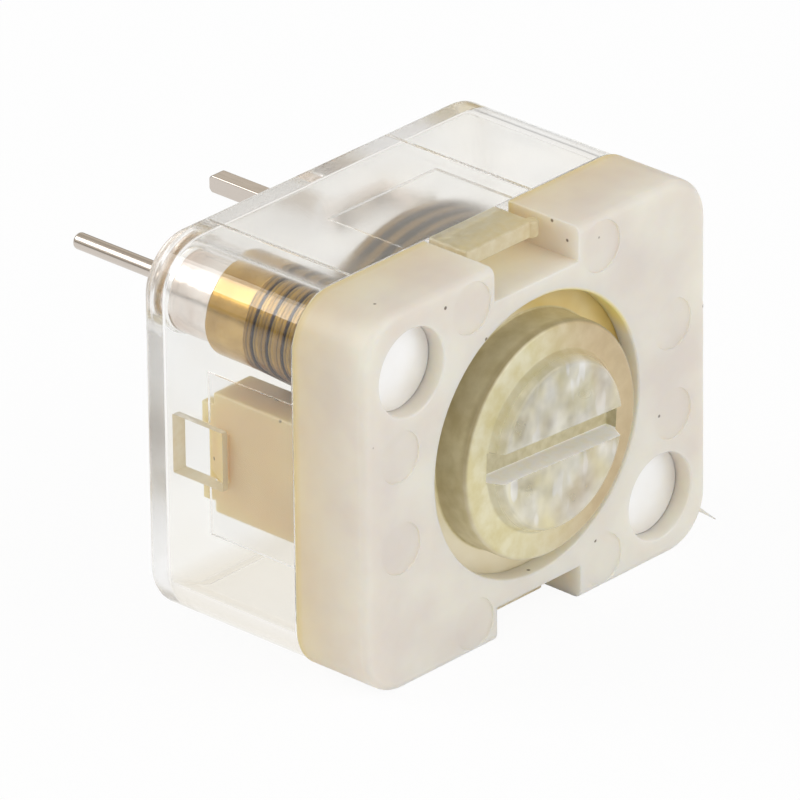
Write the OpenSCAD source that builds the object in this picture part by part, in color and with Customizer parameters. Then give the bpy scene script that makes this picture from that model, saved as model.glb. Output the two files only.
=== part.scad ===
// Film-dielectric trimmer capacitor with a moulded base, a clear dust cover and a screwdriver-set rotor.
// It lies on its long side: X is the width, Y runs from the rotor (-Y) to the terminals (+Y), Z is up.
// Y = 0 is the joint between base and cover, X = 0 and Y is the middle of the case, Z = 0 the resting face.

/* [Case] */
// Width of the case
case_w = 14.1; // [13.9:0.05:14.6]
// Height of the case as it lies
case_h = 11.5; // [11.4:0.05:12]
// Thickness of the moulded base
base_t = 2.65; // [2.6:0.05:3.2]
// Depth of the clear cover
cover_d = 5.7; // [5.6:0.05:6.4]
// Wall thickness of the cover
wall = 0.5; // [0.4:0.05:0.5]
// Corner radius of the base
base_r = 1.5; // [1:0.1:1.6]
// Corner radius of the cover
cover_r = 1.6; // [1.2:0.1:1.7]

/* [Rotor] */
// Radius of the round opening in the base
mouth_r = 4.2; // [3.7:0.05:4.2]
// Radius of the knob where it shows in the opening
knob_r = 3.5; // [3:0.05:3.6]
// How far the knob's shoulder stands out of the base
knob_out = 0.5; // [0.2:0.05:1]
// How far the slotted boss stands above the shoulder
boss_out = 0.43; // [0.2:0.01:0.6]
// Width of the screwdriver slot
slot_w = 0.9; // [0.6:0.05:1]
// Depth of the screwdriver slot
slot_depth = 0.8; // [0.5:0.05:0.9]
// Angle of the slot at rest
slot_angle = 3; // [0:1:180]
// Radius of the rotor shaft
shaft_r = 0.8; // [0.7:0.05:0.8]

/* [Plates] */
// Number of stator plates, one more than the rotor has
stator_count = 4; // [3:1:5]
// How far the posts' shoulders carry the first stator plate behind the base
shoulder = 0.21; // [0.1:0.01:0.22]
// Thickness of a stator plate
stator_t = 0.27; // [0.24:0.01:0.28]
// Gap between two stator plates
plate_gap = 0.3; // [0.28:0.01:0.31]
// Thickness of a rotor plate
rotor_t = 0.15; // [0.1:0.01:0.16]
// Thickness of a dielectric film
film_t = 0.04; // [0.02:0.01:0.04]
// Radius of the stator plates
stator_r = 5.1; // [4.9:0.05:5.1]
// Radius of the rotor plates
rotor_r = 4.75; // [4.4:0.05:4.75]

/* [Posts and terminals] */
// Distance of each stator post from the middle, sideways
post_x = 5.08; // [5.08:0.01:5.15]
// Distance of each stator post from the middle, up or down
post_z = 3.8; // [3.8:0.01:3.84]
// Radius of the brass collars and of the plates' ears
collar_r = 1.35; // [1.2:0.01:1.35]
// Length of the brass collar behind the plates
collar_len = 1.48; // [1.2:0.01:1.5]
// Radius of the tinned terminal body
ferrule_r = 1.15; // [1:0.01:1.2]
// Radius of the round terminal pins
pin_r = 0.25; // [0.2:0.01:0.28]
// Where the round pins end
pin_end = 10.05; // [8:0.05:11]
// Side of the square rotor terminal
square_pin = 0.53; // [0.4:0.01:0.6]
// Where the square terminal ends
square_end = 9.6; // [8:0.05:11]

/* [Hidden] */
$fn = 64;
eps = 0.01;
mid_z = case_h / 2;
plate_pitch = stator_t + plate_gap;
rotor_count = stator_count - 1;
film_count = 2 * rotor_count;
stack_d = stator_y(stator_count) + stator_t;
collar_end = stack_d + collar_len;
back_in = cover_d - wall;
post_angle = atan2(post_z, post_x);
post_reach = norm([post_x, post_z]);

// Base: the thin front wall, the well behind it and the seats of the posts
lip = 0.6;
well_r = 4.4;
eye_r = 1.3;
head_r = collar_r - 0.01;
seat_clear = 0.01;
notch_half = 1.72;
notch_h = 1.04;
mark_r = 0.78;
mark_depth = 0.05;
mark_x = 2.65;
mark_z = 4.85;
side_mark_x = 5.6;
side_mark_z = 1.4;

// Snap blocks on the base and the windows that they catch in
block_half = 1.85;
block_d = 3.35;
block_in = [4.95, 5.25];
block_gap = 0.05;
heel_t = 0.35;
heel_d = 0.4;
heel_half = 1.5;
hook_out = 0.4;
hook_half = 0.75;
hook_flat = 0.12;
hook_root = 0.3;
window_half = 0.9;
window_y = [2.7, 4.6];
pocket_half = [2.5, 2.2];
pocket_d = [3.4, 3.15];
pocket_depth = 0.08;

// Cover: the tabs that fill the notches, and the moulding's fine lines
tab_x = [-1.5, 1.25];
tab_len = 1.4;
gate_r = 0.2;
line_w = 0.07;
line_x = [-4.7, 2.65];
hole_clear = 0.03;

// Rotor
flange_r = 4.32;
flange_front = -base_t + lip + 0.06;
flange_t = 0.75;
hub_r = 1.6;
boss_r = [2.68, 2.45];
bore_clear = 0.02;
flat_half = 0.6;
spacer_r = 1.5;
ring_t = 0.55;
shaft_end = 4.35;
stator_eye_r = 2;
film_eye_r = 1.8;
film_side = [4.85, 5.1];

// Posts and the rotor's contact
rod_r = 0.6;
rod_clear = 0.02;
rod_grip = 0.8;
ring_r = collar_r - 0.05;
ferrule_end = cover_d - 0.02;
bevel = 0.1;
contact_y = 3.3;
contact_t = 0.25;
contact_r = 2;
contact_arm = 0.9;
contact_clear = 0.05;
arm_x = 1.95;
terminal_z = 4;
terminal_bend = back_in - square_pin - 0.05;
washer_t = 0.12;

PLATES = [for (i = [1 : stator_count]) str("stator_plate_", i)];
VANES = [for (i = [1 : rotor_count]) str("rotor_plate_", i)];
HUBS = [for (i = [1 : rotor_count - 1]) str("rotor_spacer_", i)];
LEFT_RINGS = [for (i = [1 : rotor_count]) str("left_spacer_", i)];
RIGHT_RINGS = [for (i = [1 : rotor_count]) str("right_spacer_", i)];
FILMS = [for (i = [1 : film_count]) str("dielectric_film_", i)];

// Where plate, vane or film number i begins along Y
function stator_y(i) = shoulder + (i - 1) * plate_pitch;
function rotor_y(i) = stator_y(i) + stator_t + (plate_gap - rotor_t) / 2;
function film_y(i) = let (gap = ceil(i / 2))
    i % 2 == 1 ? stator_y(gap) + stator_t : stator_y(gap + 1) - film_t;

// Carries a drawing in X and Z to depth y and gives it thickness t towards +Y
module slab(y, t) {
    translate([0, y + t, mid_z]) rotate([90, 0, 0]) linear_extrude(height = t) children();
}

// A round bar along Y about the point (x, z), measured from the middle of the case
module bar(r, y0, y1, x = 0, z = 0) {
    taper(r, r, y0, y1, x, z);
}

// The same with radius r0 at depth y0 and r1 at y1
module taper(r0, r1, y0, y1, x = 0, z = 0) {
    translate([x, y0, mid_z + z]) rotate([-90, 0, 0]) cylinder(r1 = r0, r2 = r1, h = y1 - y0);
}

module rounded(w, h, r) {
    square([w - 2 * r, h], center = true);
    square([w, h - 2 * r], center = true);
    for (x = [-1, 1], z = [-1, 1]) translate([x * (w / 2 - r), z * (h / 2 - r)]) circle(r);
}

// Does the same thing at the upper left post and the lower right one
module at_posts() {
    for (side = [-1, 1]) translate([side * post_x, -side * post_z]) children();
}

// A box given by its corners, with Z measured from the middle of the case
module block(x, y, z) {
    translate([x[0], y[0], mid_z + z[0]]) cube([x[1] - x[0], y[1] - y[0], z[1] - z[0]]);
}

// Snap block on one side, with a thin heel behind it; the hook's front face holds the cover's window
module snap_block(side) {
    inner = side < 0 ? block_in[0] : block_in[1];
    outer = case_w / 2 - wall - block_gap;
    hook_y = window_y[0] + block_gap;
    mirror([side < 0 ? 1 : 0, 0, 0]) {
        block([inner, outer], [-eps, block_d], [-block_half, block_half]);
        block([outer - heel_t, outer], [block_d - eps, block_d + heel_d], [-heel_half, heel_half]);
        translate([outer, hook_y, mid_z - hook_half]) linear_extrude(height = 2 * hook_half)
            polygon([[-hook_root, 0], [hook_out, 0], [hook_out, hook_flat],
                     [0, block_d + heel_d - hook_y], [-hook_root, block_d + heel_d - hook_y]]);
    }
}

module base() {
    color("ivory") difference() {
        union() {
            slab(-base_t, base_t) rounded(case_w, case_h, base_r);
            for (side = [-1, 1]) snap_block(side);
        }
        bar(mouth_r, -base_t - 1, 0);
        bar(well_r, -base_t + lip, 1);
        for (side = [-1, 1]) {
            bar(eye_r, -base_t - 1, 0, side * post_x, -side * post_z);
            bar(head_r + seat_clear, -base_t + lip, 1, side * post_x, -side * post_z);
            block([-notch_half, notch_half], [-base_t - 1, 1],
                  side > 0 ? [mid_z - notch_h, mid_z + 1] : [-mid_z - 1, -mid_z + notch_h]);
            for (x = [-1, 1]) {
                bar(mark_r, -base_t - 1, -base_t + mark_depth, x * mark_x, side * mark_z);
                bar(mark_r, -base_t - 1, -base_t + mark_depth, x * side_mark_x, side * side_mark_z);
            }
        }
    }
}

// Tab that lies in a notch of the base, with the stub of its moulding gate at one corner
module tab(side) {
    x = side > 0 ? tab_x : [-tab_x[1], -tab_x[0]];
    z = side > 0 ? [mid_z - wall, mid_z] : [-mid_z, wall - mid_z];
    block(x, [-tab_len, eps], z);
    translate([side * tab_x[1], -tab_len + gate_r / 2, mid_z + z[0]]) cylinder(r = gate_r, h = wall);
}

module dust_cover() {
    inner_w = case_w - 2 * wall;
    inner_h = case_h - 2 * wall;
    color("whitesmoke", 0.3) difference() {
        union() {
            slab(0, cover_d) rounded(case_w, case_h, cover_r);
            for (side = [-1, 1]) tab(side);
        }
        slab(-eps, back_in + eps) rounded(inner_w, inner_h, cover_r - wall);
        for (side = [-1, 1]) {
            x0 = side * (case_w / 2 - wall / 2);
            block([x0 - wall, x0 + wall], window_y, [-window_half, window_half]);
            block([side * inner_w / 2 - pocket_depth, side * inner_w / 2 + pocket_depth],
                  [-eps, pocket_d[0]], [-pocket_half[0], pocket_half[0]]);
            block([-pocket_half[1], pocket_half[1]], [-eps, pocket_d[1]],
                  [side * inner_h / 2 - pocket_depth, side * inner_h / 2 + pocket_depth]);
            bar(ferrule_r + hole_clear, 0, cover_d + 1, side * post_x, -side * post_z);
        }
        for (x = line_x) block([x, x + line_w], [-eps, cover_d + 1], [mid_z - line_w, mid_z + 1]);
        block([-1, 1] * (square_pin / 2 + hole_clear), [0, cover_d + 1],
              [terminal_z - square_pin / 2 - hole_clear, terminal_z + square_pin / 2 + hole_clear]);
    }
}

// Clear knob: a boss with the slot, a shoulder, a flange behind the base's front wall and a hub
module rotor_knob() {
    shoulder_y = -base_t - knob_out;
    boss_y = shoulder_y - boss_out;
    color("palegoldenrod", 0.6) difference() {
        union() {
            taper(boss_r[1], boss_r[0], boss_y, shoulder_y);
            bar(knob_r, shoulder_y, flange_front + eps);
            bar(flange_r, flange_front, flange_front + flange_t);
            bar(hub_r, flange_front, rotor_y(1));
        }
        translate([0, boss_y - 1, mid_z]) rotate([0, slot_angle, 0])
            translate([-boss_r[0], 0, -slot_w / 2]) cube([2 * boss_r[0], 1 + slot_depth, slot_w]);
        intersection() {
            bar(shaft_r + bore_clear, shoulder_y + 1, 1);
            block([-1, 1] * case_w, [-base_t, 2], [-1, 1] * (flat_half + bore_clear));
        }
    }
}

// Shaft with two flats that key the plates; its round end runs in the contact
module rotor_shaft() {
    color("goldenrod") {
        intersection() {
            bar(shaft_r, -base_t - knob_out + 1 + bore_clear, rotor_y(rotor_count) + rotor_t + ring_t);
            block([-1, 1] * case_w, [-base_t, cover_d], [-1, 1] * flat_half);
        }
        bar(flat_half, rotor_y(rotor_count) + rotor_t + ring_t - eps, shaft_end - bevel);
        taper(flat_half, flat_half - bevel, shaft_end - bevel, shaft_end);
    }
}

// Hole that fits the flats of the shaft
module keyed_hole() {
    intersection() {
        circle(shaft_r + bore_clear);
        square([2 * case_w, 2 * (flat_half + bore_clear)], center = true);
    }
}

// Half a disc, on the side of the line through the posts that faces up and right
module half_disc(r) {
    intersection() {
        circle(r);
        rotate(-post_angle) translate([-r, 0]) square([2 * r, r]);
    }
}

module rotor_plate(i) {
    color("silver") slab(rotor_y(i), rotor_t) difference() {
        union() {
            half_disc(rotor_r);
            circle(spacer_r);
        }
        keyed_hole();
    }
}

module rotor_spacer(i) {
    color("goldenrod") slab(rotor_y(i) + rotor_t, plate_pitch - rotor_t) difference() {
        circle(spacer_r);
        keyed_hole();
    }
}

// Ring staked on the shaft behind the last rotor plate
module rotor_collar() {
    color("goldenrod") slab(rotor_y(rotor_count) + rotor_t, ring_t) difference() {
        circle(spacer_r);
        keyed_hole();
    }
}

// Dished washer that pushes the rotor forward, off the contact
module spring_washer() {
    front = rotor_y(rotor_count) + rotor_t + ring_t;
    rise = contact_y - front - washer_t - contact_clear;
    inner_r = flat_half + contact_clear;
    color("lightgray") translate([0, front, mid_z]) rotate([-90, 0, 0]) rotate_extrude()
        polygon([[inner_r, 0], [inner_r + 0.3, 0], [1.7, rise], [1.7, rise + washer_t],
                 [1.4, rise + washer_t], [inner_r, washer_t]]);
}

// Flat spring that the shaft runs in, with the arm to the rotor terminal
module rotor_contact() {
    color("silver") slab(contact_y, contact_t) difference() {
        union() {
            circle(contact_r);
            translate([arm_x - contact_arm / 2, 0]) square([contact_arm, terminal_z + square_pin / 2]);
        }
        circle(flat_half + contact_clear);
    }
}

// Square wire: the pin, the run across the back wall and the leg down to the contact
module rotor_terminal() {
    half = square_pin / 2;
    z = [terminal_z - half, terminal_z + half];
    tip = square_end - bevel;
    color("silver") {
        translate([-half, 0, mid_z + terminal_z]) rotate([90, 0, 90]) linear_extrude(height = square_pin)
            polygon([[terminal_bend, -half], [tip, -half], [square_end, bevel - half],
                     [square_end, half - bevel], [tip, half], [terminal_bend, half]]);
        block([-half, arm_x + half], [terminal_bend, terminal_bend + square_pin], z);
        block([arm_x - half, arm_x + half], [contact_y + contact_t, terminal_bend + square_pin], z);
    }
}

// Plate with an ear at each post
module ears(r) {
    inner = stator_eye_r + 1;
    rotate(-post_angle) for (turn = [0, 180])
        rotate(turn) translate([inner, -r]) square([post_reach - inner, 2 * r]);
    at_posts() circle(r);
}

module stator_plate(i) {
    color("burlywood") slab(stator_y(i), stator_t) difference() {
        union() {
            half_disc(stator_r);
            ears(collar_r);
        }
        circle(stator_eye_r);
        at_posts() circle(rod_r + rod_clear);
    }
}

module dielectric_film(i) {
    color("white", 0.4) slab(film_y(i), film_t) difference() {
        intersection() {
            circle(stator_r);
            translate([-film_side[0], -case_h]) square([film_side[0] + film_side[1], 2 * case_h]);
        }
        circle(film_eye_r);
        at_posts() circle(collar_r + rod_clear);
    }
}

module post_spacer(i, side) {
    color("goldenrod") slab(stator_y(i) + stator_t, plate_gap)
        translate([side * post_x, -side * post_z]) difference() {
            circle(ring_r);
            circle(rod_r + rod_clear);
        }
}

// Turned post: a head in the base and a rod through the plates
module post(side) {
    color("silver") {
        bar(head_r, -base_t + lip, shoulder, side * post_x, -side * post_z);
        bar(rod_r, shoulder - eps, collar_end + rod_grip, side * post_x, -side * post_z);
    }
}

module collar(side) {
    color("gold") slab(stack_d, collar_len) translate([side * post_x, -side * post_z]) difference() {
        circle(collar_r);
        circle(rod_r + rod_clear);
    }
}

// Tinned terminal: a ferrule that grips the post's rod and fills its hole in the cover, and the round pin
module terminal(side) {
    x = side * post_x;
    z = -side * post_z;
    color("lightgray") difference() {
        union() {
            bar(ferrule_r, collar_end, ferrule_end - bevel, x, z);
            taper(ferrule_r, ferrule_r - bevel, ferrule_end - bevel, ferrule_end, x, z);
            bar(pin_r, ferrule_end - eps, pin_end - bevel, x, z);
            taper(pin_r, pin_r - bevel, pin_end - bevel, pin_end, x, z);
        }
        bar(rod_r + rod_clear, collar_end - 1, collar_end + rod_grip + rod_clear, x, z);
    }
}

base();
dust_cover();
rotor_knob();
rotor_shaft();
rotor_collar();
spring_washer();
rotor_contact();
rotor_terminal();
post(-1);  // left_post
post(1);  // right_post
collar(-1);  // left_collar
collar(1);  // right_collar
terminal(-1);  // left_terminal
terminal(1);  // right_terminal
for (i = [1 : stator_count]) stator_plate(i);
for (i = [1 : rotor_count]) rotor_plate(i);
for (i = [1 : rotor_count - 1]) rotor_spacer(i);
for (i = [1 : rotor_count]) post_spacer(i, -1);
for (i = [1 : rotor_count]) post_spacer(i, 1);
for (i = [1 : film_count]) dielectric_film(i);
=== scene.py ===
import math
import bmesh
import bpy
from mathutils import Matrix, Vector


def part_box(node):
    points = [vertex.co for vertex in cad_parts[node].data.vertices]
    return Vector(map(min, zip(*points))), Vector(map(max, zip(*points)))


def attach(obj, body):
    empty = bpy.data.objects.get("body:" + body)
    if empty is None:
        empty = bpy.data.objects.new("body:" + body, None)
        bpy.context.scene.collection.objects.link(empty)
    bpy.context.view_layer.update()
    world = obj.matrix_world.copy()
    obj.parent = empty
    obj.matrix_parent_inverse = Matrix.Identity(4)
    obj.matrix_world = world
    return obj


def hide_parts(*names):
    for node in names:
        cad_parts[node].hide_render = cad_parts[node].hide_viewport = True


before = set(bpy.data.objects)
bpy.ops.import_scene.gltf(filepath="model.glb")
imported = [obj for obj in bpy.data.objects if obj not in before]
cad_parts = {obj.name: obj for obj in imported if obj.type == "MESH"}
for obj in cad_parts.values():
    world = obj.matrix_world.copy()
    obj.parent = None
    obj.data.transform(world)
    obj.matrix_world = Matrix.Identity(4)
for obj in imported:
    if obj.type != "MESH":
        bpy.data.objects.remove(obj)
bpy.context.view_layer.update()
mm = 0.001  # one millimetre in metres; meshes are built in millimetres and scaled when a piece is finished

# Small helpers


def nodeBox(name):
    # The corners of a CAD node's box, in millimetres
    low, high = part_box(name)
    return low / mm, high / mm


def srgb(code):
    # sRGB hex to linear
    channels = [int(code[i:i + 2], 16) / 255 for i in (0, 2, 4)]
    return [c / 12.92 if c <= 0.04045 else ((c + 0.055) / 1.055) ** 2.4 for c in channels] + [1.0]


def addNode(tree, kind, settings=None, links=None):
    # A link comes from a socket, or from a node by its first output
    node = tree.nodes.new(kind)
    for key, value in (settings or {}).items():
        if isinstance(key, str) and hasattr(node, key):
            setattr(node, key, value)
        else:
            node.inputs[key].default_value = value
    for key, source in (links or {}).items():
        socket = source.outputs[0] if isinstance(source, bpy.types.Node) else source
        tree.links.new(socket, node.inputs[key])
    return node


def perSize(size):
    # Texture scale for a pattern of this many millimetres, as objects are in metres
    return 1 / (size * mm)


# Places that the CAD model gives

baseLow, baseHigh = nodeBox("base")
coverBack = nodeBox("dust_cover")[1].y
knobLow, knobHigh = nodeBox("rotor_knob")
caseWidth, caseHeight = baseHigh.x - baseLow.x, baseHigh.z - baseLow.z
midZ = baseHigh.z / 2  # the rotor's axis runs along Y at this height
toOrigin, toAxis = Matrix.Translation((0, 0, -midZ)), Matrix.Translation((0, 0, midZ))
postPlaces = []  # across, and up from the axis
for side in ("left", "right"):
    low, high = nodeBox(side + "_collar")
    postPlaces.append(((low.x + high.x) / 2, (low.z + high.z) / 2 - midZ))

# Meshes

spare = 0.5  # cutters stand this far out of the piece they cut
hair = 0.01  # the least gap or overlap, which keeps faces from lying on one another


def makeObject(name, data):
    thing = bpy.data.objects.new(name, data)
    bpy.context.scene.collection.objects.link(thing)
    return thing


def fromBmesh(name, bm):
    bmesh.ops.recalc_face_normals(bm, faces=bm.faces)
    mesh = bpy.data.meshes.new(name)
    bm.to_mesh(mesh)
    bm.free()
    return makeObject(name, mesh)


def baked(thing):
    # The modifiers' result as a plain mesh on a new object of the same name
    name = thing.name
    bpy.context.view_layer.update()
    mesh = bpy.data.meshes.new_from_object(thing.evaluated_get(bpy.context.evaluated_depsgraph_get()))
    bpy.data.objects.remove(thing)
    thing = makeObject(name, mesh)
    mesh.name = name
    return thing


def fromNode(name, node, weld=0.0005, flatUpTo=0.5):
    # A merged copy of a CAD node's mesh, in millimetres
    bm = bmesh.new()
    bm.from_mesh(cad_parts[node].data)
    bmesh.ops.scale(bm, vec=Vector((1, 1, 1)) / mm, verts=bm.verts)
    bmesh.ops.remove_doubles(bm, verts=bm.verts, dist=weld)
    bmesh.ops.dissolve_limit(bm, angle_limit=math.radians(flatUpTo), verts=bm.verts, edges=bm.edges)
    return fromBmesh(name, bm)


def roundedOutline(corners, steps=6):
    # Rounds a closed outline whose corners are (u, v, radius)
    points = []
    for i, (u, v, radius) in enumerate(corners):
        here = Vector((u, v))
        if radius <= 0:
            points.append(here)
            continue
        before = (Vector(corners[i - 1][:2]) - here).normalized()
        after = (Vector(corners[(i + 1) % len(corners)][:2]) - here).normalized()
        half = before.angle(after) / 2
        centre = here + (before + after).normalized() * (radius / math.sin(half))
        start = here + before * (radius / math.tan(half)) - centre
        turn = start.angle_signed(here + after * (radius / math.tan(half)) - centre)
        points += [centre + Matrix.Rotation(-turn * k / steps, 2) @ start for k in range(steps + 1)]
    return points


def loft(name, sections):
    # Closed solid through outlines of equal length in X and Z, each with its depth along Y
    bm = bmesh.new()
    rings = [[bm.verts.new((p.x, y, midZ + p.y)) for p in points] for points, y in sections]
    for a, b in zip(rings, rings[1:]):
        for i in range(len(a)):
            j = (i + 1) % len(a)
            bm.faces.new((a[i], a[j], b[j], b[i]))
    bm.faces.new(rings[0])
    bm.faces.new(reversed(rings[-1]))
    return fromBmesh(name, bm)


def roundedBlock(name, width, height, radius, front, back, frontEdge, backEdge, cornerSteps=14, edgeSteps=5):
    # A rounded rectangle run along Y, with its front and back edges rounded as well
    def outline(inset):
        u, v, r = width / 2 - inset, height / 2 - inset, max(radius - inset, hair)
        return roundedOutline([(-u, -v, r), (u, -v, r), (u, v, r), (-u, v, r)], cornerSteps)
    quarter = [math.pi / 2 * k / edgeSteps for k in range(edgeSteps + 1)]
    sections = []
    for edge, y, sign in ((frontEdge, front, 1), (backEdge, back, -1)):
        angles = quarter if edge else quarter[-1:]
        part = [(outline(edge * (1 - math.sin(a))), y + sign * edge * (1 - math.cos(a))) for a in angles]
        sections += part if sign > 0 else part[::-1]
    return loft(name, sections)


def boxBlock(name, x, y, z):
    # Z is measured from the axis
    bm = bmesh.new()
    bmesh.ops.create_cube(bm, size=1)
    for v in bm.verts:
        v.co = Vector([a[0] + (a[1] - a[0]) * (c + 0.5) for a, c in zip((x, y, z), v.co)])
        v.co.z += midZ
    return fromBmesh(name, bm)


def moved(thing, *steps):
    for step in steps:
        thing.data.transform(step)
    return thing


def bevelled(thing, width, segments=3, limit=40):
    modifier = thing.modifiers.new("edges", "BEVEL")
    modifier.width, modifier.segments = width, segments
    modifier.limit_method, modifier.angle_limit = "ANGLE", math.radians(limit)
    return baked(thing)


def combined(thing, tools, operation="DIFFERENCE"):
    for tool in tools:
        modifier = thing.modifiers.new("with", "BOOLEAN")
        modifier.operation, modifier.solver, modifier.object = operation, "EXACT", tool
    result = baked(thing)
    for tool in tools:
        bpy.data.objects.remove(tool)
    return result


def finishPiece(thing, body, nodes, material, smoothUpTo=35, skin=None, others=()):
    # Smooth shading with flat faces kept flat, then into metres and into the frame. Where skin is given, it
    # says which material a face gets: 0 for the first, and from 1 on for the others
    for face in thing.data.polygons:
        face.use_smooth = True
    thing.data.set_sharp_from_angle(angle=math.radians(smoothUpTo))
    thing.modifiers.new("flatFaces", "WEIGHTED_NORMAL").keep_sharp = True
    thing = baked(thing)
    thing.data.materials.clear()
    for each in (material, *others):
        thing.data.materials.append(each)
    if skin:
        for face in thing.data.polygons:
            face.material_index = skin(face.center, face.normal)
    thing.data.transform(Matrix.Scale(mm, 4))
    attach(thing, body)
    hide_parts(*nodes)
    return thing


# Two Geometry Nodes trees: one turns a profile about Y, and one repeats a part along Y


def newTree(name, sockets):
    tree = bpy.data.node_groups.new(name, "GeometryNodeTree")
    for socket, kind in [("Geometry", "NodeSocketGeometry")] + sockets:
        tree.interface.new_socket(socket, in_out="INPUT", socket_type=kind)
    tree.interface.new_socket("Geometry", in_out="OUTPUT", socket_type="NodeSocketGeometry")
    return tree, addNode(tree, "NodeGroupInput").outputs


def closeTree(tree, geometry, material):
    real = addNode(tree, "GeometryNodeRealizeInstances", {}, {"Geometry": geometry})
    painted = addNode(tree, "GeometryNodeSetMaterial", {}, {"Geometry": real, "Material": material})
    addNode(tree, "NodeGroupOutput", {}, {0: painted})
    return tree


def latheTree(weld=0.0002):
    # Point number r of the profile becomes ring r of a grid that is bent round the axis and closed by merging
    tree, given = newTree("lathe", [("Segments", "NodeSocketInt"), ("Axis point", "NodeSocketVector"),
                                    ("Material", "NodeSocketMaterial")])
    rows = addNode(tree, "GeometryNodeAttributeDomainSize", {}, {"Geometry": given["Geometry"]})
    columns = addNode(tree, "FunctionNodeIntegerMath", {"operation": "ADD", 1: 1}, {0: given["Segments"]})
    grid = addNode(tree, "GeometryNodeMeshGrid", {}, {"Vertices X": columns, "Vertices Y": rows})
    index = addNode(tree, "GeometryNodeInputIndex")
    column = addNode(tree, "FunctionNodeIntegerMath", {"operation": "DIVIDE_FLOOR"}, {0: index, 1: rows})
    row = addNode(tree, "FunctionNodeIntegerMath", {"operation": "MODULO"}, {0: index, 1: rows})
    place = addNode(tree, "GeometryNodeInputPosition")
    sample = addNode(tree, "GeometryNodeSampleIndex", {"data_type": "FLOAT_VECTOR"},
                     {"Geometry": given["Geometry"], "Value": place, "Index": row})
    share = addNode(tree, "ShaderNodeMath", {"operation": "DIVIDE"}, {0: column, 1: given["Segments"]})
    angle = addNode(tree, "ShaderNodeMath", {"operation": "MULTIPLY", 1: math.tau}, {0: share})
    spin = addNode(tree, "ShaderNodeVectorRotate", {"rotation_type": "Y_AXIS"},
                   {"Vector": sample, "Angle": angle})
    onAxis = addNode(tree, "ShaderNodeVectorMath", {"operation": "ADD"}, {0: spin, 1: given["Axis point"]})
    shaped = addNode(tree, "GeometryNodeSetPosition", {},
                     {"Geometry": grid.outputs["Mesh"], "Position": onAxis})
    merged = addNode(tree, "GeometryNodeMergeByDistance", {"Distance": weld}, {"Geometry": shaped})
    return closeTree(tree, merged, given["Material"])


def stackTree():
    tree, given = newTree("stack", [("Count", "NodeSocketInt"), ("Pitch", "NodeSocketFloat"),
                                    ("Material", "NodeSocketMaterial")])
    step = addNode(tree, "ShaderNodeCombineXYZ", {}, {"Y": given["Pitch"]})
    line = addNode(tree, "GeometryNodeMeshLine", {"mode": "OFFSET"},
                   {"Count": given["Count"], "Offset": step})
    copies = addNode(tree, "GeometryNodeInstanceOnPoints", {},
                     {"Points": line, "Instance": given["Geometry"]})
    return closeTree(tree, copies, given["Material"])


def throughTree(thing, tree, values):
    modifier = thing.modifiers.new(tree.name, "NODES")
    modifier.node_group = tree
    for item in tree.interface.items_tree:
        if item.in_out == "INPUT" and item.name in values:
            modifier[item.identifier] = values[item.name]
    return baked(thing)


def turned(name, corners, x=0.0, z=0.0, ring=False, segments=96, steps=4):
    # corners are (radius, depth, rounding) from the axis in front to the axis behind, or round a ring
    outline = roundedOutline(corners, steps)
    if ring:
        outline.append(outline[0])
    mesh = bpy.data.meshes.new(name)
    mesh.from_pydata([(p.x, p.y, 0) for p in outline], [(i, i + 1) for i in range(len(outline) - 1)], [])
    thing = throughTree(makeObject(name, mesh), lathe,
                        {"Segments": segments, "Axis point": (x, 0, midZ + z)})
    bm = bmesh.new()
    bm.from_mesh(thing.data)
    bmesh.ops.recalc_face_normals(bm, faces=bm.faces)
    bm.to_mesh(thing.data)
    bm.free()
    return thing


lathe, stack = latheTree(), stackTree()
print("helpers and trees ready")

# Materials. Each is named for the real one, and its patterns have their real sizes in millimetres

alongX, alongY, alongZ = (1, 0, 0), (0, 1, 0), (0, 0, 1)
paintedGlowWay = (0.55, 0, 0.84)  # to the upper right, where light that comes out of the plastic is painted on as an amber glow
fromAxis = {"Location": (0, 0, -midZ * mm), "Scale": (1, 0, 1)}  # places across the rotor's axis
middle = {"From Min": 0.35, "From Max": 0.65}  # the stretch of a noise pattern that shows


def newMaterial(name):
    material = bpy.data.materials.new(name)
    material.use_nodes = True
    tree = material.node_tree
    tree.nodes.clear()
    place = addNode(tree, "ShaderNodeTexCoord").outputs["Object"]
    return material, tree, place


def closeMaterial(tree, shader):
    addNode(tree, "ShaderNodeOutputMaterial", {}, {"Surface": shader})


def pattern(tree, place, size, detail=2.0, stretch=(1, 1, 1)):
    # Patches of a size in millimetres, drawn out along an axis where stretch is below 1
    mapped = addNode(tree, "ShaderNodeMapping", {"Scale": stretch}, {"Vector": place})
    return addNode(tree, "ShaderNodeTexNoise", {"Scale": perSize(size), "Detail": detail}, {"Vector": mapped})


def shades(tree, patches, first, second):
    # One colour in patches of two shades
    share = addNode(tree, "ShaderNodeMapRange", middle, {"Value": patches})
    return addNode(tree, "ShaderNodeMix", {"data_type": "RGBA", 6: srgb(first), 7: srgb(second)},
                   {0: share}).outputs[2]


def coats(tree, colour, *over):
    # Lays coats over a colour, each where its own share says; a coat is a plain colour or comes from a node
    for share, coat in over:
        plain = {7: srgb(coat)} if isinstance(coat, str) else {}
        linked = {} if plain else {7: coat}
        colour = addNode(tree, "ShaderNodeMix", {"data_type": "RGBA", **plain},
                         {0: share, 6: colour, **linked}).outputs[2]
    return colour


def setStops(ramp, tones):
    # Each tone is a place and a colour, and the ramp runs from the first place to the last
    (first, firstCode), (last, lastCode) = tones[0], tones[-1]
    stops = ramp.color_ramp.elements
    stops[0].color, stops[1].color = srgb(firstCode), srgb(lastCode)
    for place, code in tones[1:-1]:
        stops.new((place - first) / (last - first)).color = srgb(code)


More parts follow.
